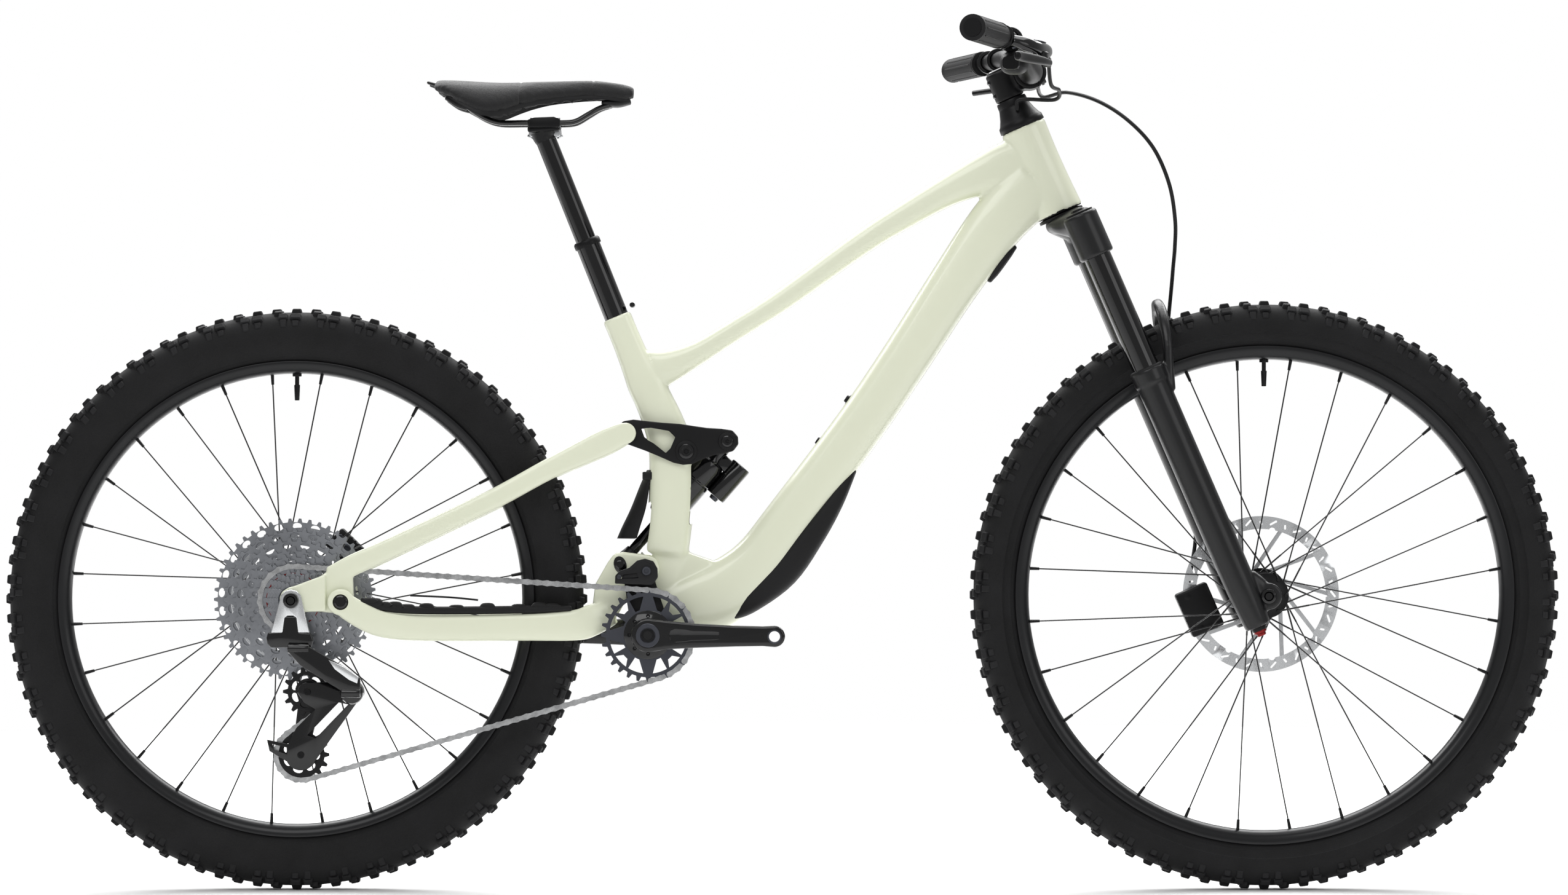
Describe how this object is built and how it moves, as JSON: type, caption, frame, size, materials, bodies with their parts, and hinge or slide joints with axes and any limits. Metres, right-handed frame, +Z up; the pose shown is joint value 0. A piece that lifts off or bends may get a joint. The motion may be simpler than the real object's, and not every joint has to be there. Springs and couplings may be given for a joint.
{
  "type": "mountain bike",
  "caption": "Full-suspension trail mountain bike with hydraulic disc brakes, a telescopic fork, a linked rear shock, a wide-range single-ring drivetrain, a dropper post and no pedals",
  "frame": {"origin": "on the floor, under the middle of the bike's length, in its middle plane", "axes": "+X points forwards, +Y to the rider's left, +Z up; the drive side is -Y"},
  "size_m": [1.978, 0.7776, 1.0875],
  "materials": {
    "main_frame": "gloss paint",
    "downtube_guard": "moulded",
    "headset_upper_bearing": "brushed",
    "headset_lower_bearing": "brushed",
    "seat_clamp": "black anodised",
    "seatpost_outer": "black anodised",
    "bottom_bracket": "black anodised",
    "chain_guide": "matte",
    "fork_crown": "black anodised",
    "headset_cover": "black anodised",
    "stem": "black anodised",
    "handlebar": "black anodised",
    "grip_left": "moulded",
    "grip_right": "moulded",
    "brake_body_left": "black anodised",
    "brake_body_right": "black anodised",
    "shifter_pod": "black anodised",
    "dropper_remote": "black anodised",
    "front_brake_hose": "moulded",
    "rear_brake_hose": "moulded",
    "brake_blade_left": "black anodised",
    "brake_blade_right": "black anodised",
    "dropper_paddle": "black anodised",
    "shift_rocker": "matte",
    "fork_lowers": "black anodised",
    "front_brake_caliper": "black anodised",
    "front_axle": "brushed",
    "front_hub": "black anodised",
    "front_spokes": "brushed",
    "front_rim": "black anodised",
    "front_tyre": "moulded",
    "front_rotor": "brushed",
    "chainstay": "gloss paint",
    "chainstay_guard": "moulded",
    "chain": "brushed",
    "seatstay": "gloss paint",
    "rear_axle": "brushed",
    "rear_brake_caliper": "black anodised",
    "derailleur_body": "black anodised",
    "derailleur_link": "black anodised",
    "derailleur_knuckle": "black anodised",
    "derailleur_cage": "black anodised",
    "pulley_upper": "matte",
    "pulley_lower": "matte",
    "rocker_link": "black anodised",
    "shock_body": "black anodised",
    "shock_shaft": "brushed",
    "rear_hub": "black anodised",
    "rear_spokes": "brushed",
    "rear_rim": "black anodised",
    "rear_tyre": "moulded",
    "rear_rotor": "brushed",
    "cassette": "dark coated",
    "crank_drive": "black anodised",
    "crank_nondrive": "black anodised",
    "chainring": "dark coated",
    "seatpost_inner": "black anodised",
    "saddle_rails": "brushed",
    "saddle_shell": "matte",
    "saddle_cover": "matte"
  },
  "bodies": {
    "frame": {"main_frame": "main_frame", "downtube_guard": "downtube_guard", "headset_upper_bearing": "headset_upper_bearing", "headset_lower_bearing": "headset_lower_bearing", "seat_clamp": "seat_clamp", "seatpost_outer": "seatpost_outer", "bottom_bracket": "bottom_bracket", "chain_guide": "chain_guide"},
    "steering": {"fork_crown": "fork_crown", "headset_cover": "headset_cover", "stem": "stem", "handlebar": "handlebar", "grip_left": "grip_left", "grip_right": "grip_right", "brake_body_left": "brake_body_left", "brake_body_right": "brake_body_right", "shifter_pod": "shifter_pod", "dropper_remote": "dropper_remote", "front_brake_hose": "front_brake_hose", "rear_brake_hose": "rear_brake_hose"},
    "brake_lever_left": {"brake_blade_left": "brake_blade_left"},
    "brake_lever_right": {"brake_blade_right": "brake_blade_right"},
    "dropper_lever": {"dropper_paddle": "dropper_paddle"},
    "shift_button": {"shift_rocker": "shift_rocker"},
    "fork_lower": {"fork_lowers": "fork_lowers", "front_brake_caliper": "front_brake_caliper", "front_axle": "front_axle"},
    "front_wheel": {"front_hub": "front_hub", "front_spokes": "front_spokes", "front_rim": "front_rim", "front_tyre": "front_tyre", "front_rotor": "front_rotor"},
    "chainstay_arm": {"chainstay": "chainstay", "chainstay_guard": "chainstay_guard", "chain": "chain"},
    "rear_stay": {"seatstay": "seatstay", "rear_axle": "rear_axle", "rear_brake_caliper": "rear_brake_caliper", "derailleur_body": "derailleur_body"},
    "derailleur_arm": {"derailleur_link": "derailleur_link"},
    "derailleur_knuckle_body": {"derailleur_knuckle": "derailleur_knuckle"},
    "cage": {"derailleur_cage": "derailleur_cage"},
    "guide_pulley": {"pulley_upper": "pulley_upper"},
    "tension_pulley": {"pulley_lower": "pulley_lower"},
    "rocker": {"rocker_link": "rocker_link"},
    "shock_upper": {"shock_body": "shock_body"},
    "shock_lower": {"shock_shaft": "shock_shaft"},
    "rear_wheel": {"rear_hub": "rear_hub", "rear_spokes": "rear_spokes", "rear_rim": "rear_rim", "rear_tyre": "rear_tyre", "rear_rotor": "rear_rotor"},
    "cassette_body": {"cassette": "cassette"},
    "crankset": {"crank_drive": "crank_drive", "crank_nondrive": "crank_nondrive", "chainring": "chainring"},
    "saddle_post": {"seatpost_inner": "seatpost_inner", "saddle_rails": "saddle_rails", "saddle_shell": "saddle_shell", "saddle_cover": "saddle_cover"}
  },
  "joints": [
    {"name": "steering_turn", "type": "hinge", "parent": "frame", "child": "steering", "pos_m": [0.35394, 0, 0.86276], "axis": [-0.3987, 0, 0.9171], "range_deg": [-65, 65]},
    {"name": "brake_pull_left", "type": "hinge", "parent": "steering", "child": "brake_lever_left", "pos_m": [0.32808, 0.203, 1.03995], "axis": [0, 0, 1], "range_deg": [0, 12], "stiffness_Nm_per_rad": 0.5, "springref_deg": -5.73},
    {"name": "brake_pull_right", "type": "hinge", "parent": "steering", "child": "brake_lever_right", "pos_m": [0.32808, -0.203, 1.03995], "axis": [0, 0, 1], "range_deg": [-12, 0], "stiffness_Nm_per_rad": 0.5, "springref_deg": 5.73},
    {"name": "dropper_press", "type": "hinge", "parent": "steering", "child": "dropper_lever", "pos_m": [0.28635, 0.186, 1.03145], "axis": [0, 0, 1], "range_deg": [-15, 0], "stiffness_Nm_per_rad": 0.1, "springref_deg": 5.73},
    {"name": "shift_press", "type": "hinge", "parent": "steering", "child": "shift_button", "pos_m": [0.28358, -0.205, 1.03995], "axis": [1, 0, 0], "range_deg": [-4, 4], "stiffness_Nm_per_rad": 0.05},
    {"name": "fork_stroke", "type": "slide", "parent": "steering", "child": "fork_lower", "axis": [-0.3987, 0, 0.9171], "range_m": [0, 0.15], "stiffness_N_per_m": 6000, "springref_m": -0.03, "deforming": ["front_brake_hose"]},
    {"name": "front_wheel_spin", "type": "hinge", "parent": "fork_lower", "child": "front_wheel", "pos_m": [0.614, 0, 0.375], "axis": [0, 1, 0], "continuous": true},
    {"name": "rear_swing", "type": "hinge", "parent": "frame", "child": "chainstay_arm", "pos_m": [-0.172, 0, 0.409], "axis": [0, 1, 0], "range_deg": [0, 17], "stiffness_Nm_per_rad": 900, "springref_deg": -6.88, "deforming": ["chain"]},
    {"name": "stay_hinge", "type": "hinge", "parent": "chainstay_arm", "child": "rear_stay", "pos_m": [-0.557, 0, 0.368], "axis": [0, 1, 0], "range_deg": [-7.02, 0]},
    {"name": "rocker_hinge", "type": "hinge", "parent": "frame", "child": "rocker", "pos_m": [-0.122, 0, 0.558], "axis": [0, 1, 0], "range_deg": [0, 43.6]},
    {"name": "shock_hinge", "type": "hinge", "parent": "rocker", "child": "shock_upper", "pos_m": [-0.0699, 0, 0.5709], "axis": [0, 1, 0], "range_deg": [-34.25, 0]},
    {"name": "shock_stroke", "type": "slide", "parent": "shock_upper", "child": "shock_lower", "axis": [0.6553, 0, 0.7554], "range_m": [0, 0.0393]},
    {"name": "rear_wheel_spin", "type": "hinge", "parent": "rear_stay", "child": "rear_wheel", "pos_m": [-0.619, 0, 0.37], "axis": [0, 1, 0], "continuous": true},
    {"name": "crank_spin", "type": "hinge", "parent": "frame", "child": "crankset", "pos_m": [-0.17, 0, 0.3256], "axis": [0, 1, 0], "continuous": true},
    {"name": "cassette_spin", "type": "hinge", "parent": "rear_stay", "child": "cassette_body", "pos_m": [-0.619, 0, 0.37], "axis": [0, 1, 0], "continuous": true},
    {"name": "shift_swing", "type": "hinge", "parent": "rear_stay", "child": "derailleur_arm", "pos_m": [-0.609, -0.0963, 0.31], "axis": [1, 0, 0], "range_deg": [-19, 14]},
    {"name": "shift_level", "type": "hinge", "parent": "derailleur_arm", "child": "derailleur_knuckle_body", "pos_m": [-0.543, -0.0963, 0.254], "axis": [1, 0, 0], "range_deg": [-14, 19]},
    {"name": "cage_tension", "type": "hinge", "parent": "derailleur_knuckle_body", "child": "cage", "pos_m": [-0.543, 0, 0.254], "axis": [0, 1, 0], "range_deg": [-35, 0], "stiffness_Nm_per_rad": 0.6, "springref_deg": 22.92},
    {"name": "guide_pulley_spin", "type": "hinge", "parent": "cage", "child": "guide_pulley", "pos_m": [-0.601, 0, 0.254], "axis": [0, 1, 0], "continuous": true},
    {"name": "tension_pulley_spin", "type": "hinge", "parent": "cage", "child": "tension_pulley", "pos_m": [-0.609, 0, 0.174], "axis": [0, 1, 0], "continuous": true},
    {"name": "post_slide", "type": "slide", "parent": "frame", "child": "saddle_post", "axis": [-0.3714, 0, 0.9285], "range_m": [-0.135, 0]}
  ],
  "couplings": [
    {"joint": "stay_hinge", "follows": "rear_swing", "ratio": -0.4125},
    {"joint": "rocker_hinge", "follows": "rear_swing", "ratio": 2.563},
    {"joint": "shock_hinge", "follows": "rear_swing", "ratio": -2.0119},
    {"joint": "shock_stroke", "follows": "rear_swing", "m_per_rad": 0.13217},
    {"joint": "cassette_spin", "follows": "crank_spin", "ratio": 1.3333},
    {"joint": "guide_pulley_spin", "follows": "crank_spin", "ratio": -2},
    {"joint": "tension_pulley_spin", "follows": "crank_spin", "ratio": 1.75},
    {"joint": "shift_level", "follows": "shift_swing", "ratio": -1}
  ]
}
